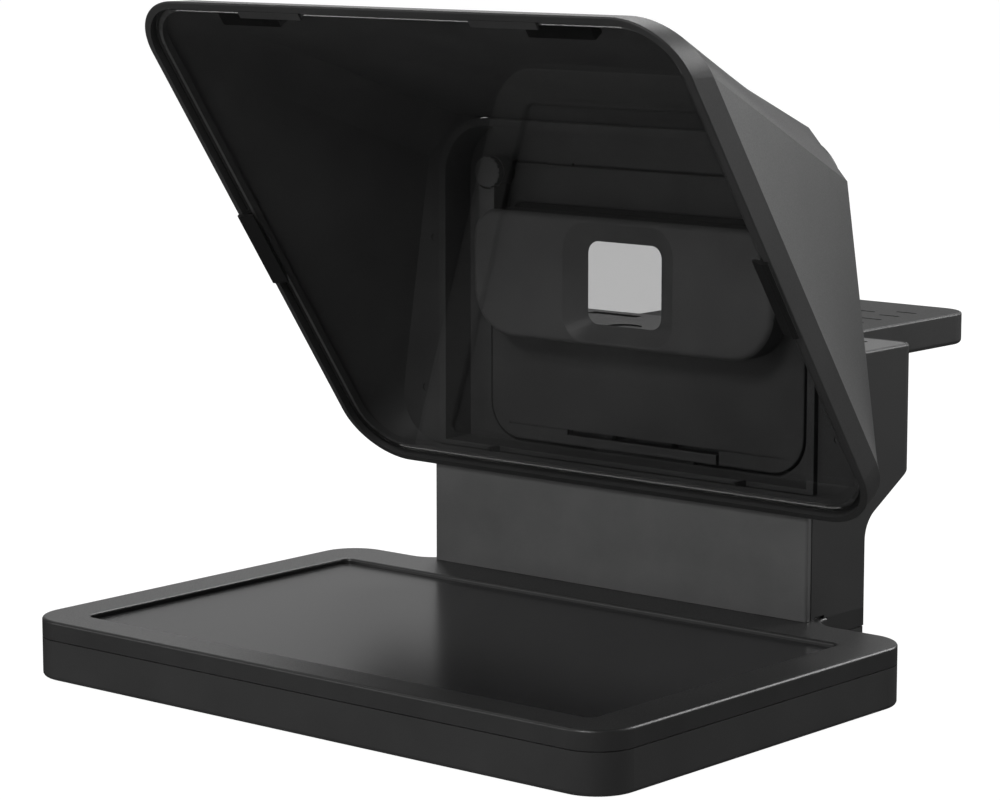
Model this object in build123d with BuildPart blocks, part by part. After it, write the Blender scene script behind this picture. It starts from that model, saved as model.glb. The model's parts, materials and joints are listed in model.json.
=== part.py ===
from build123d import *
from math import cos, radians, sin
import os

# Desktop teleprompter: a flat display base, a short column and a tilted beam-splitter hood.
# Millimetres, +Z up. The reader sits at -Y and the camera at +Y; +X is to the reader's right.
# The origin is the bottom centre of the whole object, on the surface that it stands on.

os.makedirs("parts", exist_ok=True)

# ---------------------------------------------------------------- driving dimensions
DEPTH = 291.0                       # front of the base to the back of the camera shelf
FRONT = -DEPTH / 2                  # Y of the base's front face
FOOT = 1.2                          # the rubber feet lift everything by this much
WALL = 2.4                          # usual moulded wall
FIT = 0.3                           # gap between neighbouring pieces
PLAY = 0.05                         # gap around a screw's shank
SKIN = 2.0                          # floor of the base

# base
BASE_W, BASE_D, BASE_R = 227.0, 147.5, 13.0
TONGUE_R = 10.0                     # hollow corner where the tongue under the column begins
BASE_TOP = FOOT + 18.5
BASE_FLOOR = FOOT + SKIN
PARTING = FOOT + 12.4               # joint line between lower shell and bezel
SCREEN_W, SCREEN_D = 198.0, 117.0   # opening in the bezel
SCREEN_Y = FRONT + 71.0             # its centre
RECESS = 1.5                        # the display glass lies this far below the bezel
DISPLAY_GLASS_T = 1.1
PANEL_W, PANEL_D, PANEL_T = 211.0, 127.0, 3.4
BACKLIGHT_T = 1.6
FOOT_R, FOOT_SINK = 6.0, 0.8
TRIPOD_Y = FRONT + 163.0
TRIPOD_R, TRIPOD_L = 3.175, 9.0     # quarter-inch thread
INSERT_R, INSERT_L = 5.0, 10.0

# column and electronics box
COL_W = 150.0
COVER_FRONT = FRONT + 146.5
COVER_T = 2.2
COVER_TOP = FOOT + 52.0
COL_FRONT = COVER_FRONT + COVER_T + 0.2
COL_BACK = FRONT + 177.0
COL_SHOULDER = FOOT + 53.6          # top of the column, under the hood
COL_STEP = FRONT + 155.7            # behind this the column rises to the frame
COL_NECK = FOOT + 45.1              # the box's sloping underside meets the column here
BOX_FRONT = FRONT + 166.2
BOX_BACK = FRONT + 203.2
BOX_BOTTOM = FOOT + 60.0
BOX_TOP = FOOT + 98.4
BOX_R = 5.0
LID_T = 1.1
LID_EDGE = 1.3                      # width of the wall left around the lid

# frame and back plate that the camera looks through
FRAME_FRONT = FRONT + 149.0
FRAME_BACK = BOX_FRONT - 0.2
FRAME_W, FRAME_WALL, FRAME_SILL = 150.0, 2.6, 1.6
FRAME_R = 19.0                      # radius of its upper corners
FRAME_BACK_W = 142.0                # the part behind the hood is narrower
FRAME_BOTTOM = FOOT + 57.4
FRAME_TOP = FOOT + 165.2
FRAME_FLOOR = FRONT + 161.6         # surface around the back plate
FRAME_STEP = FRONT + 163.0          # behind this the frame is narrower
FRAME_HOLE_W = 116.0
FRAME_HOLE_BOTTOM, FRAME_HOLE_TOP = FOOT + 65.8, FOOT + 147.8
PLATE_FRONT = FRONT + 161.0
PLATE_T = 3.1
PLATE_W = 125.2
PLATE_BOTTOM = FOOT + 59.9
PLATE_TOP = FOOT + 150.5
PLATE_R = 12.0
SLOT_W = 108.0                      # opening in the plate behind the carriage
SLOT_BOTTOM, SLOT_TOP = FOOT + 99.4, FOOT + 137.9
HOOK_X, HOOK_W, HOOK_H = 35.0, 10.0, 2.7

# camera carriage
CAR_FRONT = FRONT + 147.7
CAR_T = 9.9
CAR_W = 119.2
CAR_BOTTOM, CAR_TOP = FOOT + 95.5, FOOT + 136.3
CAR_TRAVEL = 9.0
BEVEL_W, BEVEL_BOTTOM, BEVEL_TOP, BEVEL_R = 44.0, FOOT + 96.2, FOOT + 134.5, 9.0
BEVEL_DEPTH = 4.0
WINDOW_W, WINDOW_BOTTOM, WINDOW_TOP, WINDOW_R = 29.2, FOOT + 102.0, FOOT + 128.4, 4.0
FLARE = 6.6                         # the window widens this much behind its narrowest point
BOSS_IN, BOSS_OUT = 29.0, 53.7      # the two bosses that pass through the plate
BOSS_BOTTOM, BOSS_TOP = FOOT + 100.8, FOOT + 128.3
RETAINER_T, SEAL_T = 1.5, 3.6
REAR_WINDOW_W = 56.0                # opening in the retainer, wide enough for a slanted view
KNOB_X, KNOB_Z, KNOB_R = -55.0, FOOT + 147.9, 5.1
KNOB_FRONT, KNOB_T = FRONT + 149.4, 2.5
STUD_R = 2.4

# release latch
LATCH_W, LATCH_FRONT, LATCH_BACK = 60.0, FRONT + 160.2, FRONT + 163.8
LATCH_BOTTOM, LATCH_TOP = FOOT + 60.1, FOOT + 63.4
LATCH_TRAVEL = 1.5
NOTCH_TOP = LATCH_TOP + LATCH_TRAVEL + 0.1
SPRING_X, SPRING_Y, SPRING_R, SPRING_TOP = 12.0, FRONT + 162.55, 1.05, NOTCH_TOP + 6.0

# camera shelf
SHELF_W = 82.0
SHELF_BOTTOM, SHELF_TOP = FOOT + 86.5, FOOT + 97.05
SHELF_INNER_Y = FRONT + 193.0
SHELF_R = 12.0
INLAY_T, INLAY_EDGE = 1.2, 1.0
INLAY_START = BOX_BACK + 1.0        # the soft top starts outside the box
DASH_L, DASH_W, DASH_PITCH_X, DASH_PITCH_Y = 8.0, 1.2, 13.2, 5.2

# hood and glass; the glass plane passes through the hood's centre point
TILT = 55.1                         # angle between the glass's normal and the vertical
RIM_CENTRE_Y = FRONT + 91.2
RIM_CENTRE_Z = FOOT + 128.7
RIM_W, RIM_BOTTOM, RIM_TOP, RIM_R = 208.0, -94.15, 93.8, 20.0
RIM_LIP = 0.8                       # rim stands this far in front of the glass
RIM_DEPTH = 7.4                     # the band behind the glass, up to the crease
CREASE_TOP = 88.1                   # the band's top is level, so the crease lies lower
RIM_WALL = 2.2
GROOVE = 1.7                        # open groove between rim and glass edge
GLASS_T = 1.5
GASKET_T = 0.5
LEDGE_T = 1.8
POCKET_TOP, GLASS_EDGE_TOP, LEDGE_TOP = 91.0, 89.9, 88.6
LEDGE_IN = 5.2                      # the ledge's inner edge, measured from the rim's outside
HOOD_BACK = FRONT + 153.0
HOOD_BOTTOM, HOOD_TOP = FOOT + 55.0, FOOT + 168.0
HOOD_BOTTOM_W, HOOD_FACET_W, HOOD_TOP_W = 195.0, 166.0, 137.6
HOOD_FACET = FOOT + 152.7           # lower end of the facet between side and roof
HOOD_BOTTOM_R, HOOD_FACET_R = 18.0, 4.5
FIN_X, FIN_T, FIN_TOP = 49.5, 1.2, FOOT + 59.4

# places of the fastenings
BASE_SCREWS = [(side * 108.6, FRONT + y) for side in (-1, 1) for y in (28, 76, 124)]
FEET = [(side * x, FRONT + y) for side in (-1, 1) for x, y in ((96, 16), (52, 163))]
PANEL_POSTS = [(side * 95, FRONT + y) for side in (-1, 1) for y in (20, 122)]
COLUMN_SCREWS = [(side * 66, FRONT + y) for side in (-1, 1) for y in (153, 172)]
FRAME_SCREWS = [(side * 68, FOOT + z) for side in (-1, 1) for z in (70, 92)]
EAR_SCREWS = [(side * x, FOOT + z) for side in (-1, 1) for x, z in ((82.5, 75), (78.6, 125))]
BOARD_SCREWS = [(side * 54, FOOT + z) for side in (-1, 1) for z in (64.8, 78.8)]
RETAINER_SCREWS = [(side * 49, FOOT + z) for side in (-1, 1) for z in (105.8, 123.3)]
CABLE_X, CABLE_Y = 40.0, FRONT + 163.0
PORT_X, PORT_Z = -30.0, FOOT + 73.0

# ---------------------------------------------------------------- planes and helpers
rim_normal = Vector(0, -sin(radians(TILT)), -cos(radians(TILT)))
glass_plane = Plane(origin=(0, RIM_CENTRE_Y, RIM_CENTRE_Z), x_dir=(1, 0, 0), z_dir=rim_normal)
GLASS_IN = RIM_WALL + GROOVE
SEAT = GLASS_T + GASKET_T           # the ledge's front, behind the glass's front surface
LEDGE_BACK = SEAT + LEDGE_T


def behind_glass(distance):
    """A plane parallel to the glass, this far behind its front surface; local y runs up it."""
    return glass_plane.offset(-distance)


def facing_reader(y):
    """An upright plane at this Y whose normal is -Y: local x is X, local y is Z."""
    return Plane(origin=(0, y, 0), x_dir=(1, 0, 0), z_dir=(0, -1, 0))


def facing_camera(y):
    """An upright plane at this Y whose normal is +Y: local x is -X, local y is Z."""
    return Plane(origin=(0, y, 0), x_dir=(-1, 0, 0), z_dir=(0, 1, 0))


def facing_down(z):
    """A level plane at this Z whose normal is -Z: local x is -X, local y is Y."""
    return Plane(origin=(0, 0, z), x_dir=(-1, 0, 0), z_dir=(0, 0, -1))


def side_plane(x):
    """An upright plane at this X whose normal is +X: local x is Y, local y is Z."""
    return Plane(origin=(x, 0, 0), x_dir=(0, 1, 0), z_dir=(1, 0, 0))


def save(piece, name):
    """Labels a finished piece and writes it."""
    piece.label = name
    export_step(piece, f"parts/{name}.step")


def box_between(low, high, mode=Mode.ADD):
    """A box in the open part, from its lowest to its highest corner."""
    middle = [(a + b) / 2 for a, b in zip(low, high)]
    with Locations(tuple(middle)):
        Box(high[0] - low[0], high[1] - low[1], high[2] - low[2], mode=mode)


def box_pair(x_low, x_high, low, high, mode=Mode.ADD):
    """The same box on both sides: its X range on the right, then its lowest and highest (Y, Z)."""
    box_between((x_low, *low), (x_high, *high), mode)
    box_between((-x_high, *low), (-x_low, *high), mode)


def panel(width, low, high, radius=0.0, x=0.0, mode=Mode.ADD):
    """A rectangle in the open sketch: its width, lowest and highest local y, and corner radius."""
    with Locations((x, (low + high) / 2)):
        if radius:
            RectangleRounded(width, high - low, radius, mode=mode)
        else:
            Rectangle(width, high - low, mode=mode)


def rim_panel(inset, top, mode=Mode.ADD):
    """The rim's outline in the open sketch, drawn in by an inset, with its own upper edge."""
    panel(RIM_W - 2 * inset, RIM_BOTTOM + inset, top, RIM_R - inset, mode=mode)


def rods(plane, places, radius, length, mode=Mode.ADD):
    """Round bars, or round holes, that stand on a plane."""
    with BuildSketch(plane) as section:
        with Locations(*places):
            Circle(radius)
    extrude(section.sketch, amount=length, mode=mode)


def screw_set(head_plane, places, head_r, head_h, shank_r, shank_l):
    """Socket screws with their heads on head_plane and their shanks running against its normal."""
    with BuildPart() as screws:
        with BuildSketch(head_plane):
            with Locations(*places):
                Circle(head_r)
        extrude(amount=head_h)
        outward = Axis(head_plane.origin, head_plane.z_dir)
        fillet(screws.edges().group_by(outward)[-1], head_h * 0.3)
        with BuildSketch(head_plane.offset(head_h)):
            with Locations(*places):
                RegularPolygon(head_r * 0.5, 6)
        extrude(amount=-head_h * 0.6, mode=Mode.SUBTRACT)
        with BuildSketch(head_plane):
            with Locations(*places):
                Circle(shank_r)
        extrude(amount=-shank_l)
    return screws.part


# ---------------------------------------------------------------- base
def base_outline(inset=0.0):
    """Plan of the base in the open sketch: a rounded rectangle with a tongue under the column."""
    with BuildSketch(mode=Mode.PRIVATE) as plan:
        panel(BASE_W, FRONT, FRONT + BASE_D, BASE_R)
        panel(COL_W, FRONT + BASE_D / 2, COL_BACK)
        corners = plan.vertices()
        tongue_y = FRONT + BASE_D
        fillet([v for v in corners if abs(v.Y - tongue_y) < 0.1 and abs(v.X) < COL_W / 2 + 1], TONGUE_R)
        fillet(plan.vertices().group_by(Axis.Y)[-1], 0.6)
        if inset:
            offset(amount=-inset)
    add(plan.sketch)


SCREW_R, SCREW_BOSS = 1.2, 2.6
LONG_SCREW_R, LONG_BOSS = 1.5, 4.0
BASE_SINK = 1.4                     # base screws' heads are sunk this far
COLUMN_SINK = 2.5
BACKLIGHT_BOTTOM = BASE_TOP - RECESS - DISPLAY_GLASS_T - PANEL_T - BACKLIGHT_T
BOARD_BOTTOM = BASE_FLOOR + 2.4
BOARD_HOLES = [(sx * 55, SCREEN_Y + sy * 30) for sx in (-1, 1) for sy in (-1, 1)]

with BuildPart() as base_shell:
    with BuildSketch(Plane.XY.offset(FOOT)):
        base_outline()
    extrude(amount=PARTING - FOOT)
    fillet(base_shell.edges().group_by(Axis.Z)[0], 1.4)
    with BuildSketch(Plane.XY.offset(BASE_FLOOR)):
        base_outline(WALL)
    extrude(amount=PARTING - BASE_FLOOR, mode=Mode.SUBTRACT)
    rods(Plane.XY.offset(BASE_FLOOR), BASE_SCREWS, SCREW_BOSS, PARTING - BASE_FLOOR)
    rods(Plane.XY.offset(BASE_FLOOR), PANEL_POSTS, 3.0, BACKLIGHT_BOTTOM - BASE_FLOOR)
    rods(Plane.XY.offset(BASE_FLOOR), BOARD_HOLES, 2.5, BOARD_BOTTOM - BASE_FLOOR)
    rods(Plane.XY.offset(FOOT), COLUMN_SCREWS, LONG_BOSS, PARTING - FOOT)
    rods(Plane.XY.offset(BASE_FLOOR), [(0, TRIPOD_Y)], INSERT_R + 2.6, INSERT_L)
    rods(Plane.XY.offset(FOOT), [(0, TRIPOD_Y)], INSERT_R + 0.02, INSERT_L, Mode.SUBTRACT)
    rods(Plane.XY.offset(FOOT), FEET, FOOT_R + 0.1, FOOT_SINK, Mode.SUBTRACT)
    rods(Plane.XY.offset(FOOT), BASE_SCREWS, SCREW_R + PLAY, PARTING, Mode.SUBTRACT)
    rods(Plane.XY.offset(FOOT), BASE_SCREWS, 2.4, BASE_SINK, Mode.SUBTRACT)
    rods(Plane.XY.offset(FOOT), COLUMN_SCREWS, LONG_SCREW_R + PLAY, PARTING, Mode.SUBTRACT)
    rods(Plane.XY.offset(FOOT), COLUMN_SCREWS, 3.0, COLUMN_SINK, Mode.SUBTRACT)
save(base_shell.part, "base_shell")

GLASS_TOP = BASE_TOP - RECESS
with BuildPart() as base_bezel:
    with BuildSketch(Plane.XY.offset(PARTING)):
        base_outline()
    extrude(amount=BASE_TOP - PARTING)
    fillet(base_bezel.edges().group_by(Axis.Z)[-1], 0.9)
    chamfer(base_bezel.edges().group_by(Axis.Z)[0], 0.35)
    # the column stands on square edges
    box_between((-COL_W / 2, FRONT + BASE_D + TONGUE_R, PARTING + 0.35), (COL_W / 2, COL_BACK, BASE_TOP))
    with BuildSketch(Plane.XY.offset(PARTING)):
        base_outline(WALL)
    extrude(amount=GLASS_TOP - PARTING, mode=Mode.SUBTRACT)
    rods(Plane.XY.offset(PARTING), BASE_SCREWS, SCREW_BOSS, GLASS_TOP - PARTING)
    rods(Plane.XY.offset(PARTING), COLUMN_SCREWS, LONG_BOSS, GLASS_TOP - PARTING)
    with BuildSketch(Plane.XY.offset(PARTING)):
        with Locations((0, SCREEN_Y)):
            RectangleRounded(SCREEN_W, SCREEN_D, 3)
        with Locations((CABLE_X, CABLE_Y)):
            RectangleRounded(30, 14, 3)
    extrude(amount=BASE_TOP, mode=Mode.SUBTRACT)
    rim = base_bezel.edges().group_by(Axis.Z)[-1].filter_by(
        lambda e: abs(e.center().X) <= SCREEN_W / 2 and e.center().Y < FRONT + BASE_D - 10)
    fillet(rim.filter_by(lambda e: FRONT + 10 < e.center().Y), 0.8)
    rods(Plane.XY.offset(PARTING), BASE_SCREWS, SCREW_R + PLAY, 3.4, Mode.SUBTRACT)
    rods(Plane.XY.offset(PARTING), COLUMN_SCREWS, LONG_SCREW_R + PLAY, BASE_TOP, Mode.SUBTRACT)
save(base_bezel.part, "base_bezel")

with BuildPart() as display_glass:
    with BuildSketch(Plane.XY.offset(GLASS_TOP - DISPLAY_GLASS_T)):
        with Locations((0, SCREEN_Y)):
            RectangleRounded(SCREEN_W + 9, SCREEN_D + 9, 4)
    extrude(amount=DISPLAY_GLASS_T)
save(display_glass.part, "display_glass")

with BuildPart() as lcd_panel:
    with BuildSketch(Plane.XY.offset(GLASS_TOP - DISPLAY_GLASS_T - PANEL_T)):
        with Locations((0, SCREEN_Y)):
            RectangleRounded(PANEL_W, PANEL_D, 1)
    extrude(amount=PANEL_T)
save(lcd_panel.part, "lcd_panel")

with BuildPart() as backlight_unit:
    with BuildSketch(Plane.XY.offset(BACKLIGHT_BOTTOM)):
        with Locations((0, SCREEN_Y)):
            RectangleRounded(PANEL_W, PANEL_D, 1)
    extrude(amount=BACKLIGHT_T)
save(backlight_unit.part, "backlight_unit")

with BuildPart() as display_board:
    with BuildSketch(Plane.XY.offset(BOARD_BOTTOM)):
        with Locations((0, SCREEN_Y)):
            RectangleRounded(120, 70, 2)
    extrude(amount=1.6)
    flex_low = BOARD_BOTTOM + 1.6
    box_between((30, FRONT + 98, flex_low), (50, FRONT + 105, flex_low + 1.4))
    for chip_x, chip_y, chip_w in ((-30, FRONT + 66, 16), (-2, FRONT + 80, 12), (22, FRONT + 58, 9)):
        box_between((chip_x, chip_y, flex_low), (chip_x + chip_w, chip_y + chip_w, flex_low + 1.2))
save(display_board.part, "display_board")

with BuildPart() as rubber_feet:
    rods(Plane.XY, FEET, FOOT_R, FOOT + FOOT_SINK)
    fillet(rubber_feet.edges().group_by(Axis.Z)[0], 0.6)
save(rubber_feet.part, "rubber_feet")

save(screw_set(facing_down(FOOT + BASE_SINK), BASE_SCREWS, 2.2, 1.1, SCREW_R, 14.0), "base_screws")
save(screw_set(facing_down(FOOT + COLUMN_SINK), COLUMN_SCREWS, 2.8, 2.0, LONG_SCREW_R, 25.0),
     "column_screws")

with BuildPart() as tripod_insert:
    rods(Plane.XY.offset(FOOT), [(0, TRIPOD_Y)], INSERT_R, INSERT_L)
    rods(Plane.XY.offset(FOOT), [(0, TRIPOD_Y)], TRIPOD_R, TRIPOD_L, Mode.SUBTRACT)
save(tripod_insert.part, "tripod_insert")


# ---------------------------------------------------------------- column and box
def column_side(inset=0.0):
    """Side view of the column and box in the open sketch."""
    with BuildSketch(mode=Mode.PRIVATE) as side:
        with BuildLine():
            Polyline(
                (COL_FRONT, BASE_TOP), (COL_FRONT, COL_SHOULDER), (COL_STEP, COL_SHOULDER),
                (COL_STEP, FRAME_BOTTOM - 0.2), (BOX_FRONT, FRAME_BOTTOM - 0.2),
                (BOX_FRONT, BOX_TOP), (BOX_BACK, BOX_TOP), (BOX_BACK, BOX_BOTTOM),
                (COL_BACK, COL_NECK), (COL_BACK, BASE_TOP), close=True)
        make_face()
        neck = side.vertices().filter_by(
            lambda v: abs(v.X - COL_BACK) < 0.1 and abs(v.Y - COL_NECK) < 0.1)
        fillet(neck, 10)
        if inset:
            offset(amount=-inset, kind=Kind.INTERSECTION)
    add(side.sketch)


INNER_X = COL_W / 2 - WALL
SLOT_GAP = 0.3                      # around the shelf where it passes the box's rear wall
LID_BOTTOM = BOX_TOP - LID_T
with BuildPart() as column_housing:
    with BuildSketch(side_plane(-COL_W / 2)):
        column_side()
    extrude(amount=COL_W)
    upright = column_housing.edges().filter_by(Axis.Z)
    fillet(upright.filter_by(lambda e: abs(e.center().Y - BOX_BACK) < 0.1), BOX_R)
    top_rim = column_housing.edges().group_by(Axis.Z)[-1]
    fillet(top_rim.filter_by(lambda e: e.center().Y > BOX_FRONT + 0.1), 0.8)
    with BuildSketch(side_plane(-INNER_X)):
        column_side(WALL)
    extrude(amount=2 * INNER_X, mode=Mode.SUBTRACT)
    box_between((-INNER_X, COL_FRONT - 1, BASE_TOP + WALL),
                (INNER_X, COL_FRONT + WALL + 1, COL_SHOULDER - WALL), Mode.SUBTRACT)
    box_between((-INNER_X, BOX_FRONT + WALL, BOX_TOP - WALL - 1),
                (INNER_X, BOX_BACK - WALL, BOX_TOP + 1), Mode.SUBTRACT)
    with BuildSketch(Plane.XY.offset(LID_BOTTOM)):
        panel(COL_W - 2 * LID_EDGE + 0.4, BOX_FRONT + LID_EDGE - 0.2, BOX_BACK - LID_EDGE + 0.2,
              BOX_R - LID_EDGE)
    extrude(amount=LID_T + 1, mode=Mode.SUBTRACT)
    with BuildSketch(facing_reader(BOX_BACK + 1)):
        panel(SHELF_W + 2 * SLOT_GAP, SHELF_BOTTOM - SLOT_GAP, BOX_TOP + 1)
    extrude(amount=WALL + 2, mode=Mode.SUBTRACT)
    with BuildSketch(facing_reader(BOX_BACK + 1)):
        panel(9.6, PORT_Z - 1.9, PORT_Z + 1.9, 1.85, PORT_X)
    extrude(amount=WALL + 2, mode=Mode.SUBTRACT)
    with BuildSketch(Plane.XY.offset(BASE_TOP)):
        with Locations((CABLE_X, CABLE_Y)):
            RectangleRounded(30, 14, 3)
    extrude(amount=WALL, mode=Mode.SUBTRACT)
    rods(Plane.XY.offset(BASE_TOP), COLUMN_SCREWS, LONG_BOSS, 10.5)
    rods(Plane.XY.offset(BASE_TOP), COLUMN_SCREWS, LONG_SCREW_R + PLAY, 9.4, Mode.SUBTRACT)
    rods(facing_camera(BOX_FRONT), BOARD_SCREWS, 3.0, WALL + 4.0)
    rods(facing_camera(BOX_FRONT + 2.0), BOARD_SCREWS, 0.95, WALL + 4.0, Mode.SUBTRACT)
    rods(facing_camera(BOX_FRONT - 1), FRAME_SCREWS, SCREW_R + PLAY, WALL + 2, Mode.SUBTRACT)
    box_pair(COL_W / 2 - 0.9, COL_W / 2 + 1, (FRONT + 150.5, BASE_TOP), (FRONT + 155.8, BASE_TOP + 1),
             Mode.SUBTRACT)
save(column_housing.part, "column_housing")

with BuildPart() as column_cover:
    with BuildSketch(facing_reader(COVER_FRONT + COVER_T)):
        panel(COL_W - 0.4, BASE_TOP + 0.1, COVER_TOP)
    extrude(amount=COVER_T)
    fillet(column_cover.edges().filter_by(Axis.Z).group_by(Axis.Y)[0], 0.8)
    box_pair(INNER_X - 2.0, INNER_X - 0.2, (COVER_FRONT + COVER_T - 0.5, BASE_TOP + 13),
             (COL_FRONT + 3.2, BASE_TOP + 27))
save(column_cover.part, "column_cover")

LID_W = COL_W - 2 * LID_EDGE
with BuildPart() as box_lid:
    with BuildSketch(Plane.XY.offset(LID_BOTTOM)):
        panel(LID_W, BOX_FRONT + LID_EDGE, BOX_BACK - LID_EDGE, BOX_R - LID_EDGE - 0.2)
        panel(SHELF_W + 2 * SLOT_GAP - 0.8, BOX_BACK - LID_EDGE - 1, BOX_BACK)
    extrude(amount=LID_T)
    fillet(box_lid.edges().group_by(Axis.Z)[-1], 0.3)
    box_pair(INNER_X - 1.8, INNER_X - 0.2, (FRONT + 178, LID_BOTTOM - 7), (FRONT + 192, LID_BOTTOM + 0.5))
    rods(Plane.XY.offset(BOX_TOP - 0.5), [(-18, FRONT + 174), (18, FRONT + 174)], 6.0, 1, Mode.SUBTRACT)
    rods(Plane.XY.offset(BOX_TOP - 0.8), [(-62, FRONT + 194.4), (62, FRONT + 194.4)], 1.0, 1,
         Mode.SUBTRACT)
    with BuildSketch(Plane.XY.offset(BOX_TOP - 0.6)):
        with Locations((-39, FRONT + 195.8), (39, FRONT + 195.8)):
            RectangleRounded(20, 5, 1)
    extrude(amount=1, mode=Mode.SUBTRACT)
save(box_lid.part, "box_lid")

BOARD_FRONT = BOX_FRONT + WALL + 4.0
BOARD_LOW, BOARD_HIGH = FOOT + 60.8, FOOT + 82.8
with BuildPart() as main_board:
    with BuildSketch(facing_reader(BOARD_FRONT + 1.6)):
        panel(120, BOARD_LOW, BOARD_HIGH, 1)
    extrude(amount=1.6)
    rods(facing_reader(BOARD_FRONT + 2), BOARD_SCREWS, 1.1, 3, Mode.SUBTRACT)
    box_between((CABLE_X - 9, BOARD_FRONT - 3, BOARD_LOW + 4), (CABLE_X + 9, BOARD_FRONT, BOARD_LOW + 8))
    for chip_x, chip_w, chip_h in ((-34, 14, 14), (-12, 10, 10), (8, 8, 8), (24, 12, 6)):
        box_between((chip_x, BOARD_FRONT + 1.6, BOARD_LOW + 4),
                    (chip_x + chip_w, BOARD_FRONT + 3.0, BOARD_LOW + 4 + chip_h))
save(main_board.part, "main_board")
save(screw_set(facing_camera(BOARD_FRONT + 1.6), BOARD_SCREWS, 2.0, 1.2, 0.9, 5.5), "board_screws")

PORT_BOARD_FRONT = BOX_BACK - WALL - 1.4
with BuildPart() as port_board:
    with BuildSketch(facing_reader(PORT_BOARD_FRONT + 1.2)):
        panel(24, PORT_Z - 8, PORT_Z + 8, 1, PORT_X)
        panel(9.1, PORT_Z - 1.65, PORT_Z + 1.65, 1.6, PORT_X, Mode.SUBTRACT)
    extrude(amount=1.2)
save(port_board.part, "port_board")

with BuildPart() as usb_c_socket:
    with BuildSketch(facing_reader(BOX_BACK - 0.2)):
        panel(9.0, PORT_Z - 1.6, PORT_Z + 1.6, 1.55, PORT_X)
        panel(8.3, PORT_Z - 1.25, PORT_Z + 1.25, 1.2, PORT_X, Mode.SUBTRACT)
    extrude(amount=8)
    box_between((PORT_X - 4.3, BOX_BACK - 8.2, PORT_Z - 1.4), (PORT_X + 4.3, BOX_BACK - 7.2, PORT_Z + 1.4))
    box_between((PORT_X - 3.3, BOX_BACK - 8.0, PORT_Z - 0.35), (PORT_X + 3.3, BOX_BACK - 1.2, PORT_Z + 0.35))
save(usb_c_socket.part, "usb_c_socket")

FLEX_T = 0.4
with BuildPart() as display_flex:
    with BuildSketch(side_plane(CABLE_X - 8)):
        with BuildLine():
            FilletPolyline((FRONT + 105, flex_low + 0.6), (CABLE_Y, flex_low + 0.6),
                           (CABLE_Y, FOOT + 44.8), (BOARD_FRONT - 1.8, FOOT + 53),
                           (BOARD_FRONT - 1.8, BOARD_LOW + 4), radius=2.5)
        trace(line_width=FLEX_T)
    extrude(amount=16)
save(display_flex.part, "display_flex")

save(screw_set(facing_camera(BOX_FRONT + WALL), FRAME_SCREWS, 2.1, 1.3, SCREW_R, 6.0), "frame_screws")

# ---------------------------------------------------------------- frame and back plate
EAR_FRONT, EAR_T = HOOD_BACK + 0.1, 2.4
PLATE_BACK = PLATE_FRONT + PLATE_T
with BuildPart() as back_frame:
    with BuildSketch(facing_reader(FRAME_STEP)) as tray:
        panel(FRAME_W, FRAME_BOTTOM, FRAME_TOP)
        fillet(tray.vertices().group_by(Axis.Y)[-1], FRAME_R)
    extrude(amount=FRAME_STEP - FRAME_FRONT)
    with BuildSketch(facing_reader(FRAME_BACK)) as floor:
        panel(FRAME_BACK_W, FRAME_BOTTOM, FRAME_TOP - 2)
        fillet(floor.vertices().group_by(Axis.Y)[-1], FRAME_R)
    extrude(amount=FRAME_BACK - FRAME_STEP)
    with BuildSketch(facing_reader(FRAME_FLOOR)) as pocket:
        panel(FRAME_W - 2 * FRAME_WALL, FRAME_BOTTOM + FRAME_SILL, FRAME_TOP - FRAME_WALL)
        fillet(pocket.vertices().group_by(Axis.Y)[-1], FRAME_R - FRAME_WALL)
    extrude(amount=FRAME_FLOOR - FRAME_FRONT, mode=Mode.SUBTRACT)
    with BuildSketch(facing_reader(PLATE_BACK + 0.2)):
        panel(PLATE_W + 1.6, FRAME_BOTTOM + FRAME_SILL, PLATE_TOP + 0.8, PLATE_R + 0.8)
    extrude(amount=PLATE_BACK + 0.2 - FRAME_FLOOR, mode=Mode.SUBTRACT)
    with BuildSketch(facing_reader(FRAME_BACK)):
        panel(FRAME_HOLE_W, FRAME_HOLE_BOTTOM, FRAME_HOLE_TOP, 4)
    extrude(amount=FRAME_BACK - PLATE_BACK, mode=Mode.SUBTRACT)
    hook_low, hook_high = PLATE_TOP - 0.5, PLATE_TOP + HOOK_H + 0.4
    box_pair(HOOK_X - HOOK_W / 2 - 0.4, HOOK_X + HOOK_W / 2 + 0.4, (PLATE_FRONT + 0.9, hook_low),
             (PLATE_FRONT + 2.7, hook_high), Mode.SUBTRACT)
    box_between((-20.6, PLATE_FRONT + 0.7, FRAME_BOTTOM - 1),
                (20.6, PLATE_FRONT + 2.9, FRAME_BOTTOM + FRAME_SILL + 0.1), Mode.SUBTRACT)
    box_pair(FRAME_W / 2 - 1, 87.0, (EAR_FRONT, FOOT + 70), (EAR_FRONT + EAR_T, FOOT + 80))
    box_pair(FRAME_W / 2 - 1, 82.4, (EAR_FRONT, FOOT + 120), (EAR_FRONT + EAR_T, FOOT + 130))
    rods(facing_reader(EAR_FRONT + EAR_T), EAR_SCREWS, SCREW_R + PLAY, EAR_T, Mode.SUBTRACT)
    rods(facing_reader(FRAME_BACK), FRAME_SCREWS, SCREW_R + PLAY, 4.0, Mode.SUBTRACT)
save(back_frame.part, "back_frame")
save(screw_set(facing_camera(EAR_FRONT + EAR_T), EAR_SCREWS, 2.1, 1.3, SCREW_R, 4.6), "hood_screws")

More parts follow.
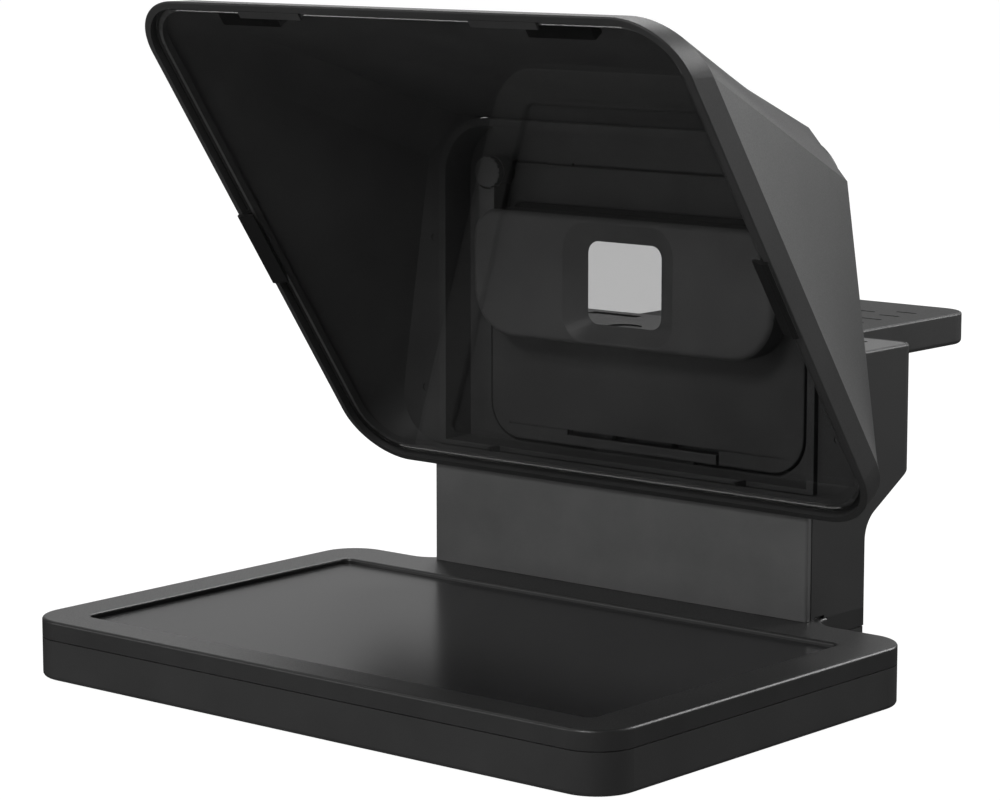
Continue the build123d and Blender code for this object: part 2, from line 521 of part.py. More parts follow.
with BuildPart() as back_plate:
    with BuildSketch(facing_reader(PLATE_BACK)):
        panel(PLATE_W, PLATE_BOTTOM, PLATE_TOP, PLATE_R)
        panel(SLOT_W, SLOT_BOTTOM, SLOT_TOP, 4, mode=Mode.SUBTRACT)
        panel(LATCH_W + 1.2, PLATE_BOTTOM - 1, NOTCH_TOP, mode=Mode.SUBTRACT)
    extrude(amount=PLATE_T)
    fillet(back_plate.edges().group_by(Axis.Y)[0].filter_by(lambda e: e.center().Z > PLATE_TOP - 13), 0.5)
    box_pair(HOOK_X - HOOK_W / 2, HOOK_X + HOOK_W / 2, (PLATE_FRONT + 1.2, PLATE_TOP - 1),
             (PLATE_FRONT + 2.4, PLATE_TOP + HOOK_H))
    box_pair(LATCH_W / 2 - 0.1, 55, (PLATE_FRONT - 1, NOTCH_TOP - 0.3), (PLATE_FRONT + 0.4, NOTCH_TOP + 0.2),
             Mode.SUBTRACT)
    box_pair(LATCH_W / 2, LATCH_W / 2 + 2.6, (PLATE_FRONT + 0.9, PLATE_BOTTOM - 1),
             (PLATE_FRONT + 2.3, NOTCH_TOP), Mode.SUBTRACT)
    rods(Plane.XY.offset(NOTCH_TOP - 0.1), [(-SPRING_X, SPRING_Y), (SPRING_X, SPRING_Y)], 1.2,
         SPRING_TOP - NOTCH_TOP + 0.1, Mode.SUBTRACT)
save(back_plate.part, "back_plate")

with BuildPart() as release_latch:
    box_between((-LATCH_W / 2, LATCH_FRONT, LATCH_BOTTOM), (LATCH_W / 2, LATCH_BACK, LATCH_TOP))
    fillet(release_latch.edges().filter_by(Axis.X).group_by(Axis.Y)[0], 0.4)
    box_pair(LATCH_W / 2 - 0.5, LATCH_W / 2 + 2.2, (PLATE_FRONT + 1.1, LATCH_BOTTOM),
             (PLATE_FRONT + 2.1, LATCH_TOP))
    box_between((-20, PLATE_FRONT + 1.0, FRAME_BOTTOM + 0.4), (20, PLATE_FRONT + 2.6, LATCH_BOTTOM + 0.5))
    rods(Plane.XY.offset(LATCH_TOP - 1.1), [(-SPRING_X, SPRING_Y), (SPRING_X, SPRING_Y)], 1.2, 2,
         Mode.SUBTRACT)
save(release_latch.part, "release_latch")

with BuildPart() as latch_springs:
    spring_low = LATCH_TOP - 1.1
    rods(Plane.XY.offset(spring_low), [(-SPRING_X, SPRING_Y), (SPRING_X, SPRING_Y)], SPRING_R,
         SPRING_TOP - spring_low)
    rods(Plane.XY.offset(spring_low), [(-SPRING_X, SPRING_Y), (SPRING_X, SPRING_Y)], SPRING_R - 0.4,
         SPRING_TOP - spring_low, Mode.SUBTRACT)
save(latch_springs.part, "latch_springs")

# ---------------------------------------------------------------- camera carriage
CAR_BACK = CAR_FRONT + CAR_T
BOSS_BACK = PLATE_BACK + 0.2
with BuildPart() as camera_carriage:
    with BuildSketch(facing_reader(CAR_BACK)) as face:
        panel(CAR_W, CAR_BOTTOM, CAR_TOP)
        fillet(face.vertices().group_by(Axis.Y)[-1], 9)
        fillet(face.vertices().group_by(Axis.Y)[0], 16)
    extrude(amount=CAR_T)
    fillet(camera_carriage.edges().group_by(Axis.Y)[0], 2.0)
    for side in (-1, 1):
        with BuildSketch(facing_reader(BOSS_BACK)):
            panel(BOSS_OUT - BOSS_IN, BOSS_BOTTOM, BOSS_TOP, 4, side * (BOSS_OUT + BOSS_IN) / 2)
        extrude(amount=BOSS_BACK - CAR_BACK + 0.5)
        with BuildSketch(facing_reader(BOSS_BACK)):
            panel(12.4, BOSS_BOTTOM + WALL, BOSS_TOP - WALL, 1.5, side * 37.8)
        extrude(amount=BOSS_BACK - CAR_FRONT - WALL, mode=Mode.SUBTRACT)
    with BuildSketch(facing_reader(CAR_FRONT)):
        panel(BEVEL_W, BEVEL_BOTTOM, BEVEL_TOP, BEVEL_R)
    with BuildSketch(facing_reader(CAR_FRONT + BEVEL_DEPTH)):
        panel(WINDOW_W, WINDOW_BOTTOM, WINDOW_TOP, WINDOW_R)
    loft(ruled=True, mode=Mode.SUBTRACT)
    bevel_edge = camera_carriage.edges().group_by(Axis.Y)[0].filter_by(lambda e: e.length < BEVEL_W)
    fillet(bevel_edge.filter_by(lambda e: abs(e.center().X) <= BEVEL_W / 2 + 0.1), 0.7)
    with BuildSketch(facing_reader(CAR_FRONT + BEVEL_DEPTH)):
        panel(WINDOW_W, WINDOW_BOTTOM, WINDOW_TOP, WINDOW_R)
    with BuildSketch(facing_reader(CAR_BACK)):
        panel(WINDOW_W + 2 * FLARE, WINDOW_BOTTOM - 2.4, WINDOW_TOP + 1.2, WINDOW_R)
    loft(ruled=True, mode=Mode.SUBTRACT)
    box_between((KNOB_X - 3.2, FRONT + 149.5, CAR_TOP - 3), (KNOB_X + 3.1, CAR_BACK, KNOB_Z))
    rods(facing_reader(CAR_BACK), [(KNOB_X, KNOB_Z)], KNOB_R, CAR_BACK - KNOB_FRONT - KNOB_T - FIT)
    rods(facing_reader(KNOB_FRONT + KNOB_T + FIT), [(KNOB_X, KNOB_Z)], KNOB_R + 0.4, 10, Mode.SUBTRACT)
    rods(facing_reader(CAR_BACK), [(KNOB_X, KNOB_Z)], STUD_R + PLAY, CAR_T, Mode.SUBTRACT)
    rods(facing_reader(BOSS_BACK), RETAINER_SCREWS, 1.0 + PLAY, 8, Mode.SUBTRACT)
save(camera_carriage.part, "camera_carriage")

RETAINER_BACK = BOSS_BACK + RETAINER_T
with BuildPart() as carriage_retainer:
    with BuildSketch(facing_reader(RETAINER_BACK)):
        # long enough below to keep the slot closed when the carriage is up
        panel(113, SLOT_BOTTOM - CAR_TRAVEL - 1.5, SLOT_TOP + 0.5, 5)
        panel(REAR_WINDOW_W, SLOT_BOTTOM - 0.6, WINDOW_TOP + 2, WINDOW_R, mode=Mode.SUBTRACT)
        with Locations(*RETAINER_SCREWS):
            Circle(1.1, mode=Mode.SUBTRACT)
    extrude(amount=RETAINER_T)
save(carriage_retainer.part, "carriage_retainer")
save(screw_set(facing_camera(RETAINER_BACK), RETAINER_SCREWS, 2.0, 1.0, 1.0, 8.0), "retainer_screws")

with BuildPart() as lens_seal:
    with BuildSketch(facing_reader(RETAINER_BACK + SEAL_T)):
        panel(REAR_WINDOW_W + 14, BOX_TOP + 0.8, WINDOW_TOP + 6, 6)
        panel(REAR_WINDOW_W + 6, BOX_TOP - 6, WINDOW_TOP + 2.4, WINDOW_R, mode=Mode.SUBTRACT)
    extrude(amount=SEAL_T)
save(lens_seal.part, "lens_seal")

with BuildPart() as lock_knob:
    with BuildSketch(facing_reader(KNOB_FRONT + KNOB_T)):
        with Locations((KNOB_X, KNOB_Z)):
            Circle(KNOB_R)
    extrude(amount=KNOB_T)
    fillet(lock_knob.edges().group_by(Axis.Y)[0], 0.5)
    with BuildSketch(facing_reader(KNOB_FRONT + KNOB_T)):
        with Locations((KNOB_X, KNOB_Z)):
            with PolarLocations(KNOB_R + 0.25, 16):
                Circle(0.5)
    extrude(amount=KNOB_T, mode=Mode.SUBTRACT)
    stud_end = PLATE_FRONT - FIT
    rods(facing_reader(stud_end), [(KNOB_X, KNOB_Z)], STUD_R, stud_end - KNOB_FRONT - KNOB_T + 0.5)
save(lock_knob.part, "lock_knob")


# ---------------------------------------------------------------- camera shelf
def shelf_plan(inset=0.0):
    """Plan of the shelf in the open sketch, round at its outer corners."""
    with BuildSketch(mode=Mode.PRIVATE) as plan:
        panel(SHELF_W, SHELF_INNER_Y, DEPTH / 2)
        fillet(plan.vertices().group_by(Axis.Y)[-1], SHELF_R)
        if inset:
            offset(amount=-inset)
    add(plan.sketch)


with BuildPart() as camera_shelf:
    with BuildSketch(Plane.XY.offset(SHELF_BOTTOM)):
        shelf_plan()
    extrude(amount=SHELF_TOP - SHELF_BOTTOM)
    fillet(camera_shelf.edges().group_by(Axis.Z)[-1].filter_by(
        lambda e: e.center().Y > SHELF_INNER_Y + 1), 0.7)
    fillet(camera_shelf.edges().group_by(Axis.Z)[0].filter_by(
        lambda e: e.center().Y > SHELF_INNER_Y + 1), 1.5)
    with BuildSketch(Plane.XY.offset(SHELF_TOP - INLAY_T)):
        shelf_plan(INLAY_EDGE)
        panel(SHELF_W, SHELF_INNER_Y, INLAY_START, mode=Mode.SUBTRACT)
    extrude(amount=INLAY_T, mode=Mode.SUBTRACT)
    with BuildSketch(Plane.XY.offset(SHELF_BOTTOM)):
        shelf_plan(3.0)
        for rib_y in (FRONT + 217, FRONT + 241, FRONT + 265):
            panel(SHELF_W, rib_y - 0.8, rib_y + 0.8, mode=Mode.SUBTRACT)
    extrude(amount=SHELF_TOP - SHELF_BOTTOM - INLAY_T - WALL, mode=Mode.SUBTRACT)
save(camera_shelf.part, "camera_shelf")

with BuildPart() as shelf_top:
    with BuildSketch(Plane.XY.offset(SHELF_TOP - INLAY_T)):
        shelf_plan(INLAY_EDGE + 0.15)
        panel(SHELF_W, SHELF_INNER_Y, INLAY_START + 0.15, mode=Mode.SUBTRACT)
        for row in range(7):
            columns = (-2, 0, 2) if row % 2 == 0 else (-1, 1)
            dash_y = FRONT + 240 + row * DASH_PITCH_Y
            with Locations(*[(column * DASH_PITCH_X, dash_y) for column in columns]):
                SlotOverall(DASH_L, DASH_W, mode=Mode.SUBTRACT)
    extrude(amount=INLAY_T)
save(shelf_top.part, "shelf_top")

with BuildPart() as shelf_rails:
    rail_front, rail_back = BOX_FRONT + WALL, BOX_BACK - WALL
    box_pair(36, 45, (rail_front, SHELF_BOTTOM - 2.5), (rail_back, SHELF_BOTTOM - 0.2))
    box_pair(SHELF_W / 2 + 0.4, 45, (rail_front, SHELF_BOTTOM - 1), (rail_back, LID_BOTTOM - 0.5))
save(shelf_rails.part, "shelf_rails")


# ---------------------------------------------------------------- hood and glass
def rim_outline(inset, top):
    """The rim's outline in the open sketch, its upper corners cut in three to meet the facets."""
    radius = RIM_R - inset
    x, low, high = RIM_W / 2 - inset - radius, RIM_BOTTOM + inset + radius, top - radius
    with BuildSketch(mode=Mode.PRIVATE) as outline:
        with BuildLine():
            Line((-x, low - radius), (x, low - radius))
            CenterArc((x, low), radius, -90, 90)
            Line((x + radius, low), (x + radius, high))
            for start, sweep in ((0, 20), (20, 50), (70, 20)):
                CenterArc((x, high), radius, start, sweep)
            Line((x, top), (-x, top))
            for start, sweep in ((90, 20), (110, 50), (160, 20)):
                CenterArc((-x, high), radius, start, sweep)
            Line((-x - radius, high), (-x - radius, low))
            CenterArc((-x, low), radius, 180, 90)
        make_face()
    add(outline.sketch)


def hood_rear(inset=0.0):
    """The hood's rear outline in the open sketch, with a facet between each side and the roof."""
    with BuildSketch(mode=Mode.PRIVATE) as rear:
        with BuildLine():
            Polyline((-HOOD_BOTTOM_W / 2, HOOD_BOTTOM), (HOOD_BOTTOM_W / 2, HOOD_BOTTOM),
                     (HOOD_FACET_W / 2, HOOD_FACET), (HOOD_TOP_W / 2, HOOD_TOP),
                     (-HOOD_TOP_W / 2, HOOD_TOP), (-HOOD_FACET_W / 2, HOOD_FACET), close=True)
        make_face()
        corners = rear.vertices()
        fillet(corners.filter_by(lambda v: v.Y < HOOD_BOTTOM + 1), HOOD_BOTTOM_R)
        fillet(corners.filter_by(lambda v: v.Y > HOOD_BOTTOM + 1), HOOD_FACET_R)
        if inset:
            offset(amount=-inset)
    add(rear.sketch)


with BuildPart() as hood_shell:
    with BuildSketch(behind_glass(-RIM_LIP)):
        rim_panel(0, RIM_TOP)
    with BuildSketch(behind_glass(RIM_DEPTH)):
        rim_panel(0, CREASE_TOP)
    loft(ruled=True)
    fillet(hood_shell.faces().sort_by(Axis(glass_plane.origin, rim_normal))[-1].edges(), 0.5)
    with BuildSketch(behind_glass(RIM_DEPTH)):
        rim_outline(0, CREASE_TOP)
    with BuildSketch(facing_reader(HOOD_BACK)):
        hood_rear()
    loft(ruled=True)
    with BuildSketch(behind_glass(LEDGE_BACK)):
        rim_outline(RIM_WALL, LEDGE_TOP - 0.4)
    with BuildSketch(facing_reader(HOOD_BACK - WALL)):
        hood_rear(WALL)
    loft(ruled=True, mode=Mode.SUBTRACT)
    with BuildSketch(behind_glass(SEAT)):
        rim_panel(RIM_WALL, POCKET_TOP)
    extrude(amount=SEAT + RIM_LIP + 1, mode=Mode.SUBTRACT)
    with BuildSketch(behind_glass(LEDGE_BACK)):
        rim_panel(LEDGE_IN, LEDGE_TOP - 0.4)
    extrude(amount=LEDGE_T, mode=Mode.SUBTRACT)
    with BuildSketch(facing_reader(HOOD_BACK + 1)) as rear_opening:
        panel(FRAME_W + 0.8, FRAME_BOTTOM - 0.2, FRAME_TOP + 0.2)
        fillet(rear_opening.vertices().group_by(Axis.Y)[-1], FRAME_R + 0.4)
    extrude(amount=WALL + 1.1, mode=Mode.SUBTRACT)
    rods(facing_reader(HOOD_BACK), EAR_SCREWS, SCREW_R + PLAY, WALL + 1, Mode.SUBTRACT)
    for side in (-1, 1):
        with BuildSketch(behind_glass(RIM_DEPTH)):
            panel(23.8, 82.0, CREASE_TOP - 1.0, x=side * 59.7)
        extrude(amount=RIM_DEPTH - LEDGE_BACK)
        with BuildSketch(side_plane(side * FIN_X - FIN_T / 2)):
            with BuildLine():
                Polyline((FRONT + 143.9, FIN_TOP), (FRONT + 148.7, FIN_TOP), (FRONT + 148.7, FOOT + 56),
                         (FRONT + 146.2, FOOT + 56), close=True)
            make_face()
        extrude(amount=FIN_T)
save(hood_shell.part, "hood_shell")

with BuildPart() as glass_gasket:
    with BuildSketch(behind_glass(SEAT)):
        rim_panel(GLASS_IN, GLASS_EDGE_TOP)
        rim_panel(LEDGE_IN, LEDGE_TOP - 0.4, Mode.SUBTRACT)
    extrude(amount=GASKET_T)
save(glass_gasket.part, "glass_gasket")

with BuildPart() as glass_pane:
    with BuildSketch(behind_glass(GLASS_T)):
        rim_panel(GLASS_IN, GLASS_EDGE_TOP)
    extrude(amount=GLASS_T)
    glass_axis = Axis(glass_plane.origin, rim_normal)
    glass_rims = glass_pane.faces().sort_by(glass_axis)
    chamfer(glass_rims[0].edges() + glass_rims[-1].edges(), 0.25)
save(glass_pane.part, "glass_pane")

# clips that hold the glass: two at the top edge and one at each side
CLIP_GAP = 0.1
TOP_CLIP_X, TOP_CLIP_W = 45.0, 24.6
SIDE_CLIP_LOW, SIDE_CLIP_HIGH = -18.1, 9.4
SIDE_CLIP_IN, SIDE_CLIP_PROUD = 97.6, 1.3
GLASS_HALF, POCKET_HALF = RIM_W / 2 - GLASS_IN, RIM_W / 2 - RIM_WALL
low_end = glass_plane.origin + glass_plane.y_dir * SIDE_CLIP_LOW
clip_section = Plane(origin=low_end, x_dir=(1, 0, 0), z_dir=glass_plane.y_dir)
for side, name in ((-1, "left"), (1, "right")):
    with BuildPart() as top_clip:
        with BuildSketch(behind_glass(-CLIP_GAP)):
            panel(TOP_CLIP_W, GLASS_EDGE_TOP - 1.5, POCKET_TOP - CLIP_GAP, x=side * TOP_CLIP_X)
        extrude(amount=RIM_LIP - CLIP_GAP)
        with BuildSketch(behind_glass(SEAT - CLIP_GAP)):
            panel(TOP_CLIP_W, GLASS_EDGE_TOP + CLIP_GAP, POCKET_TOP - CLIP_GAP, x=side * TOP_CLIP_X)
        extrude(amount=SEAT)
    save(top_clip.part, f"top_clip_{name}")

    # the section's local y runs behind the glass, so what is in front of it is negative
    with BuildPart() as side_clip:
        outline = [(RIM_W / 2 - 0.3, -RIM_LIP - CLIP_GAP), (RIM_W / 2 - 0.3, -RIM_LIP - 0.8),
                   (RIM_W / 2 - 1.0, -RIM_LIP - SIDE_CLIP_PROUD), (POCKET_HALF, -RIM_LIP - SIDE_CLIP_PROUD),
                   (SIDE_CLIP_IN, -0.7), (SIDE_CLIP_IN, -0.15), (GLASS_HALF + CLIP_GAP, -0.15),
                   (GLASS_HALF + CLIP_GAP, SEAT - CLIP_GAP), (POCKET_HALF - CLIP_GAP, SEAT - CLIP_GAP),
                   (POCKET_HALF - CLIP_GAP, -RIM_LIP - CLIP_GAP)]
        with BuildSketch(clip_section):
            with BuildLine():
                Polyline(*[(side * x, y) for x, y in outline], close=True)
            make_face()
        extrude(amount=SIDE_CLIP_HIGH - SIDE_CLIP_LOW)
    save(side_clip.part, f"side_clip_{name}")
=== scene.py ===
import json
from math import cos, radians, sin

import bpy
from mathutils import Matrix, Vector

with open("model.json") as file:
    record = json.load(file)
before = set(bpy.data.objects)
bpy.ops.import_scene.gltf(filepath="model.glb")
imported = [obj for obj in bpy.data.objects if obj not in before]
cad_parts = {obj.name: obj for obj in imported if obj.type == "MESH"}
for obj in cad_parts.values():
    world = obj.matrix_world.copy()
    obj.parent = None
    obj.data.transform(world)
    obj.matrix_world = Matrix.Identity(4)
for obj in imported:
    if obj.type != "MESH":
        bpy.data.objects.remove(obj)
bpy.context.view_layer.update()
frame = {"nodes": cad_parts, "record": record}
nodes = frame["nodes"]

# ---------------------------------------------------------------- materials
# Textures lie in object space, which is the frame in metres. A scale is in cells
# per metre, and a height is how far a bump stands up, in metres.
NOISE_LOW, NOISE_HIGH = 0.3, 0.7            # the part of a noise's range that is used
NOISE_DETAIL, NOISE_ROUGHNESS = 3.0, 0.55
GRAIN, GRAIN_HEIGHT = 2600.0, 0.000018      # moulded plastic
COVER_GRAIN, COVER_HEIGHT = 1500.0, 0.00003
FLOW_MARKS, FLOW_DETAIL = 45.0, 4.0
FLOW_DARK, FLOW_LIGHT = 0.88, 1.14
MOULDED_SWING = 0.06                        # how far the roughness varies each way
FINISH, FINISH_HEIGHT = 900.0, 0.000006     # metal and boards
RUBBER_GRAIN, RUBBER_HEIGHT = 1800.0, 0.00002
FOAM_GRAIN, FOAM_HEIGHT = 1600.0, 0.0001
PATCHES, PATCH_SWING = 120.0, 0.1
PLAIN_SWING = 0.05
SPECULAR, CLIP_SPECULAR, INLAY_SPECULAR = 0.5, 0.25, 0.18


def new_material(name):
    material = bpy.data.materials.new(name)
    material.use_nodes = True
    tree = material.node_tree
    shader = tree.nodes["Principled BSDF"]
    return material, tree, shader


def noise(tree, scale, detail=NOISE_DETAIL):
    where = tree.nodes.new("ShaderNodeTexCoord")
    cells = tree.nodes.new("ShaderNodeTexNoise")
    cells.inputs["Scale"].default_value = scale
    cells.inputs["Detail"].default_value = detail
    cells.inputs["Roughness"].default_value = NOISE_ROUGHNESS
    tree.links.new(where.outputs["Object"], cells.inputs["Vector"])
    return cells.outputs["Fac"]


def spread(tree, value, low, high):
    """Maps a noise to a range."""
    remap = tree.nodes.new("ShaderNodeMapRange")
    remap.inputs["From Min"].default_value = NOISE_LOW
    remap.inputs["From Max"].default_value = NOISE_HIGH
    remap.inputs["To Min"].default_value = low
    remap.inputs["To Max"].default_value = high
    tree.links.new(value, remap.inputs["Value"])
    return remap.outputs["Result"]


def mottle(tree, shader, dark, light, scale, detail=NOISE_DETAIL):
    """Varies the base colour between two colours in broad, faint patches."""
    mix = tree.nodes.new("ShaderNodeMix")
    mix.data_type = "RGBA"
    mix.inputs["A"].default_value = (*dark, 1)
    mix.inputs["B"].default_value = (*light, 1)
    patches = spread(tree, noise(tree, scale, detail), 0.0, 1.0)
    tree.links.new(patches, mix.inputs["Factor"])
    tree.links.new(mix.outputs["Result"], shader.inputs["Base Color"])


def roughen(tree, shader, low, high, scale, height):
    """A fine grain that stands up a little and varies the roughness between two values."""
    cells = noise(tree, scale)
    tree.links.new(spread(tree, cells, low, high), shader.inputs["Roughness"])
    bump = tree.nodes.new("ShaderNodeBump")
    bump.inputs["Strength"].default_value = 1.0
    bump.inputs["Distance"].default_value = height
    tree.links.new(cells, bump.inputs["Height"])
    tree.links.new(bump.outputs["Normal"], shader.inputs["Normal"])


def moulded(name, grey, rough, grain=GRAIN, height=GRAIN_HEIGHT, specular=SPECULAR):
    """Black or grey moulded plastic with a fine grain and faint flow marks."""
    material, tree, shader = new_material(name)
    mottle(tree, shader, [grey * FLOW_DARK] * 3, [grey * FLOW_LIGHT] * 3, FLOW_MARKS, FLOW_DETAIL)
    roughen(tree, shader, rough - MOULDED_SWING, rough + MOULDED_SWING, grain, height)
    shader.inputs["Specular IOR Level"].default_value = specular
    return material


def plain(name, colour, rough, metallic=0.0, grain=FINISH, height=FINISH_HEIGHT):
    """Metal, rubber, foam or board with a little variation."""
    material, tree, shader = new_material(name)
    dark = [channel * (1 - PATCH_SWING) for channel in colour]
    light = [channel * (1 + PATCH_SWING) for channel in colour]
    mottle(tree, shader, dark, light, PATCHES)
    roughen(tree, shader, rough - PLAIN_SWING, rough + PLAIN_SWING, grain, height)
    shader.inputs["Metallic"].default_value = metallic
    return material


def beam_glass():
    """Half-silvered glass: a thin metallic coating that lets part of the light through."""
    material, tree, shader = new_material("beam_glass")
    mottle(tree, shader, (0.3, 0.3, 0.295), (0.33, 0.33, 0.325), scale=30.0)
    shader.inputs["Metallic"].default_value = 1.0
    shader.inputs["Roughness"].default_value = 0.015
    shader.inputs["Alpha"].default_value = 0.375
    return material


def display_cover():
    """Near-black cover glass with an anti-glare etch."""
    material, tree, shader = new_material("display_glass")
    mottle(tree, shader, (0.006, 0.006, 0.0065), (0.009, 0.009, 0.0095), scale=60.0)
    roughen(tree, shader, 0.2, 0.26, scale=5200.0, height=0.000004)
    return material


shell = moulded("shell_black", 0.018, 0.5)
hood = moulded("hood_black", 0.018, 0.52)
looks = {
    "shell_black": shell,
    "carriage_black": shell,
    "hood_black": hood,
    "clip_black": hood,
    "bezel_black": moulded("bezel_black", 0.018, 0.38),
    "cover_black": moulded("cover_black", 0.07, 0.38, COVER_GRAIN, COVER_HEIGHT),
    "shelf_inlay": moulded("shelf_inlay", 0.016, 0.65, specular=INLAY_SPECULAR),
    "rail": moulded("rail", 0.03, 0.5),
    "display_glass": display_cover(),
    "beam_glass": beam_glass(),
    "panel": plain("panel", (0.01, 0.01, 0.012), 0.2),
    "backlight": plain("backlight", (0.5, 0.5, 0.51), 0.4, 0.9),
    "circuit_board": plain("circuit_board", (0.02, 0.09, 0.05), 0.35),
    "flex": plain("flex", (0.35, 0.17, 0.04), 0.4),
    "rubber": plain("rubber", (0.015, 0.015, 0.015), 0.8, 0.0, RUBBER_GRAIN, RUBBER_HEIGHT),
    "foam": plain("foam", (0.02, 0.02, 0.02), 0.9, 0.0, FOAM_GRAIN, FOAM_HEIGHT),
    "screw_steel": plain("screw_steel", (0.05, 0.05, 0.052), 0.35, 1.0),
    "socket_steel": plain("socket_steel", (0.55, 0.55, 0.57), 0.3, 1.0),
    "spring_steel": plain("spring_steel", (0.06, 0.06, 0.06), 0.4, 1.0),
    "brass": plain("brass", (0.6, 0.42, 0.16), 0.3, 1.0),
}
# Painted light: the hood's inner faces and the glass gasket get this lighter grey instead of the
# hood's own black, standing in for light inside the hood.
painted_light_inside = moulded("hood_inside_painted_light", 0.12, 0.55)
# Painted shade: the side clips get a darker grey than the top clips of the same plastic, standing
# in for the shade on the hood's sides.
side_clip = moulded("side_clip_painted_shade", 0.006, 0.5, specular=CLIP_SPECULAR)
node_looks = {"glass_gasket": painted_light_inside, "side_clip_left": side_clip, "side_clip_right": side_clip}
for part in frame["record"]["subparts"]:
    target = nodes[part["node"]]
    target.data.materials.clear()
    target.data.materials.append(node_looks.get(part["node"], looks[part["material_slot"]]))

# ---------------------------------------------------------------- behind the pane
# Painted light: what shows through the pane is greyer than the outside, because faces behind the
# pane get lighter copies of the same plastic, standing in for the light that comes in through the
# pane.
TURNED = 0.2                # how much of a face's normal has to point at the reader
CLEAR_OF_PANE = 0.0005
HOOD_MIDDLE = Vector((0, -0.04, 0.13))      # a place in the hood that its inner faces look at
pane = max(nodes["glass_pane"].data.polygons, key=lambda face: face.area)
into_hood = pane.normal * (1 if pane.normal.y > 0 else -1)
# Painted light: lighter copies of the black plastic for the back frame's inner faces and for the
# front faces of the plate, latch, carriage and knob.
plate = moulded("plate_painted_light", 0.14, 0.5)
carriage = moulded("carriage_black", 0.19, 0.4)


def paint_lighter_faces(node, painted_light_look, chosen):
    """Gives some of a node's faces a lighter material of their own, as painted light."""
    mesh = nodes[node].data
    mesh.materials.append(painted_light_look)
    for face in mesh.polygons:
        if chosen(face):
            face.material_index = 1


def faces_reader(face):
    return face.normal.y < -TURNED


def behind_pane(face):
    return (face.center - pane.center).dot(into_hood) > CLEAR_OF_PANE


def inside_hood(face):
    return behind_pane(face) and face.normal.dot(HOOD_MIDDLE - face.center) > 0


paint_lighter_faces("hood_shell", painted_light_inside, inside_hood)
paint_lighter_faces("hood_screws", painted_light_inside, inside_hood)
paint_lighter_faces("back_frame", plate, inside_hood)
# painted light: only the faces turned to the front get the lighter grey, and the other faces keep
# the black
paint_lighter_faces("back_plate", plate, faces_reader)
paint_lighter_faces("release_latch", plate, faces_reader)
paint_lighter_faces("camera_carriage", carriage, faces_reader)
paint_lighter_faces("lock_knob", carriage, faces_reader)

# ---------------------------------------------------------------- floor
FLOOR_SIZE = 60.0
FLOOR_GREY = 0.1
FLOOR_GLOW = 1.0
BELOW_FEET = 0.0002         # keeps the floor out of the plane of the feet
bpy.ops.mesh.primitive_plane_add(size=FLOOR_SIZE, location=(0, 0, -BELOW_FEET))
floor = bpy.context.object
floor.name = "floor"
floor_material, _, floor_shader = new_material("floor")
floor_shader.inputs["Base Color"].default_value = (FLOOR_GREY, FLOOR_GREY, FLOOR_GREY, 1)
floor_shader.inputs["Roughness"].default_value = 0.9
floor_shader.inputs["Specular IOR Level"].default_value = 0.0
floor_shader.inputs["Emission Color"].default_value = (1, 1, 1, 1)
floor_shader.inputs["Emission Strength"].default_value = FLOOR_GLOW
floor.data.materials.append(floor_material)
floor.visible_glossy = False

# ---------------------------------------------------------------- sky
# Dark below the horizon, dim above it, and brighter round one pale wall.
UPWARDS = (0, 0, 1)
HORIZON_START, HORIZON_END = -0.12, 0.02        # sines of elevations
PALE_WALL = (-0.68, 0.72, 0.18)                 # the way to the wall's middle
WALL_EDGE, WALL_MIDDLE = 0.72, 1.0              # cosines of the angle from there
DIM_SKY, BRIGHT_SKY = 0.02, 0.44
LOWEST_SKY = 0.008
world = bpy.data.worlds.new("studio")
bpy.context.scene.world = world
world.use_nodes = True
sky = world.node_tree


def sky_math(operation, first, second):
    """Joins a value to a second one, which may be a plain number."""
    node = sky.nodes.new("ShaderNodeMath")
    node.operation = operation
    sky.links.new(first, node.inputs[0])
    if isinstance(second, float):
        node.inputs[1].default_value = second
    else:
        sky.links.new(second, node.inputs[1])
    return node.outputs[0]


def sky_ramp(value, low, high, bottom, top):
    """Rises smoothly from bottom to top while the value goes from low to high."""
    node = sky.nodes.new("ShaderNodeMapRange")
    node.interpolation_type = "SMOOTHSTEP"
    node.inputs["From Min"].default_value = low
    node.inputs["From Max"].default_value = high
    node.inputs["To Min"].default_value = bottom
    node.inputs["To Max"].default_value = top
    sky.links.new(value, node.inputs["Value"])
    return node.outputs["Result"]


def towards(direction):
    """How nearly the sky's direction is this one, from -1 to 1."""
    coordinates = sky.nodes.new("ShaderNodeTexCoord")
    node = sky.nodes.new("ShaderNodeVectorMath")
    node.operation = "DOT_PRODUCT"
    node.inputs[1].default_value = Vector(direction).normalized()
    sky.links.new(coordinates.outputs["Generated"], node.inputs[0])
    return node.outputs["Value"]


above = sky_ramp(towards(UPWARDS), HORIZON_START, HORIZON_END, 0.0, 1.0)
pale_wall = sky_ramp(towards(PALE_WALL), WALL_EDGE, WALL_MIDDLE, DIM_SKY, BRIGHT_SKY)
glow = sky_math("ADD", sky_math("MULTIPLY", pale_wall, above), LOWEST_SKY)
# the camera itself sees a plain white backdrop
rays = sky.nodes.new("ShaderNodeLightPath")
seen = sky_math("MAXIMUM", glow, rays.outputs["Is Camera Ray"])
backdrop = sky.nodes["Background"]
backdrop.inputs["Color"].default_value = (1, 1, 1, 1)
sky.links.new(seen, backdrop.inputs["Strength"])


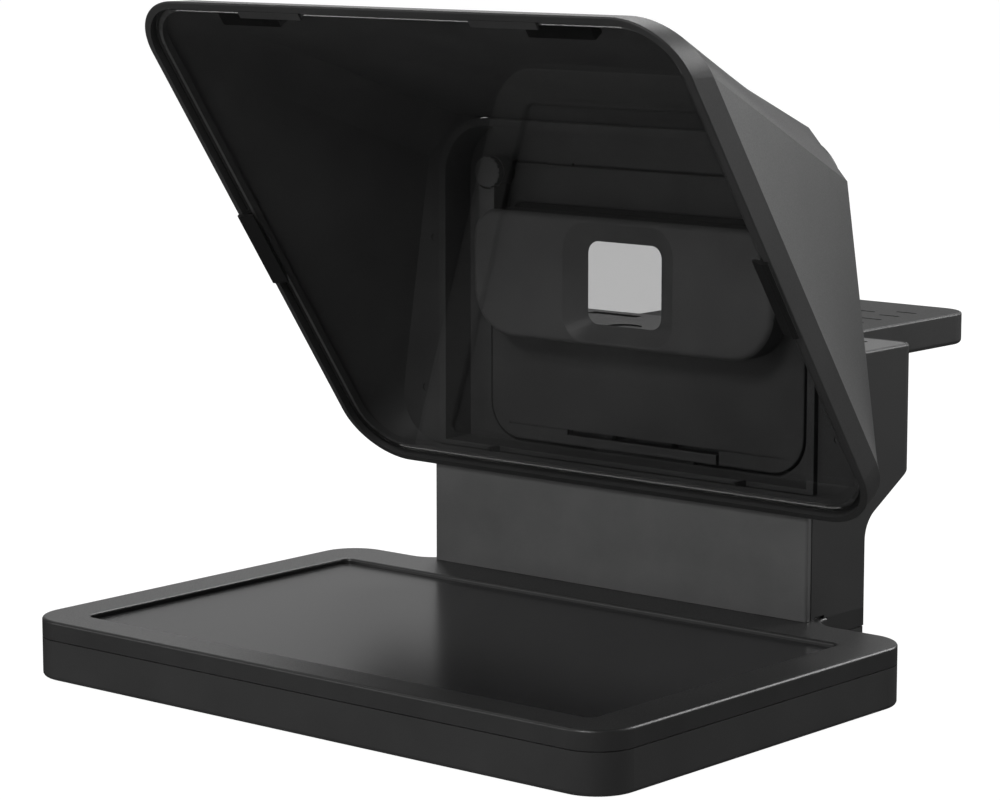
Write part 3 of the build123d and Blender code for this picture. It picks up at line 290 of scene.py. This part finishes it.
# ---------------------------------------------------------------- lights
def soft_light(name, place, aim, size, power):
    """A large rectangular light that points at a place and that the camera doesn't see."""
    data = bpy.data.lights.new(name, "AREA")
    data.shape = "RECTANGLE"
    data.size, data.size_y = size
    data.energy = power
    light = bpy.data.objects.new(name, data)
    bpy.context.scene.collection.objects.link(light)
    light.location = place
    light.visible_camera = False
    light.rotation_euler = (Vector(aim) - Vector(place)).to_track_quat("-Z", "Y").to_euler()


soft_light("key", place=(0.7, 1.4, 0.8), aim=(0.05, 0.05, 0.12), size=(0.9, 0.9), power=21)
soft_light("back", place=(-0.7, 0.95, 1.2), aim=(0, -0.05, 0.05), size=(0.9, 0.5), power=11)
soft_light("top left", place=(-1.0, -0.2, 1.5), aim=(0, 0, 0.1), size=(1.2, 1.2), power=3)
soft_light("front", place=(0.25, -1.6, 1.15), aim=(-0.02, 0, 0.13), size=(0.55, 0.55), power=19)
soft_light("front left", place=(-1.3, -1.5, 0.4), aim=(0, 0, 0.1), size=(1.2, 0.7), power=5)

# ---------------------------------------------------------------- camera
AZIMUTH, ELEVATION = radians(40.327), radians(8.807)
AIM = Vector((0.009584, -0.0655, 0.089443))
CAMERA_DISTANCE = 1.02606
LENS, SENSOR_WIDTH = 124.1, 36.0                # millimetres
VIEW_END = 100.0
back = Vector((sin(AZIMUTH) * cos(ELEVATION), -cos(AZIMUTH) * cos(ELEVATION), sin(ELEVATION)))
right = Vector((cos(AZIMUTH), sin(AZIMUTH), 0))
up = back.cross(right)
eye = AIM + back * CAMERA_DISTANCE
camera_data = bpy.data.cameras.new("camera")
camera_data.sensor_width = SENSOR_WIDTH
camera_data.lens = LENS
camera_data.clip_end = VIEW_END
camera = bpy.data.objects.new("camera", camera_data)
bpy.context.scene.collection.objects.link(camera)
camera.matrix_world = Matrix((
    (right.x, up.x, back.x, eye.x),
    (right.y, up.y, back.y, eye.y),
    (right.z, up.z, back.z, eye.z),
    (0, 0, 0, 1)))
bpy.context.scene.camera = camera
bpy.context.scene.view_settings.view_transform = "Standard"
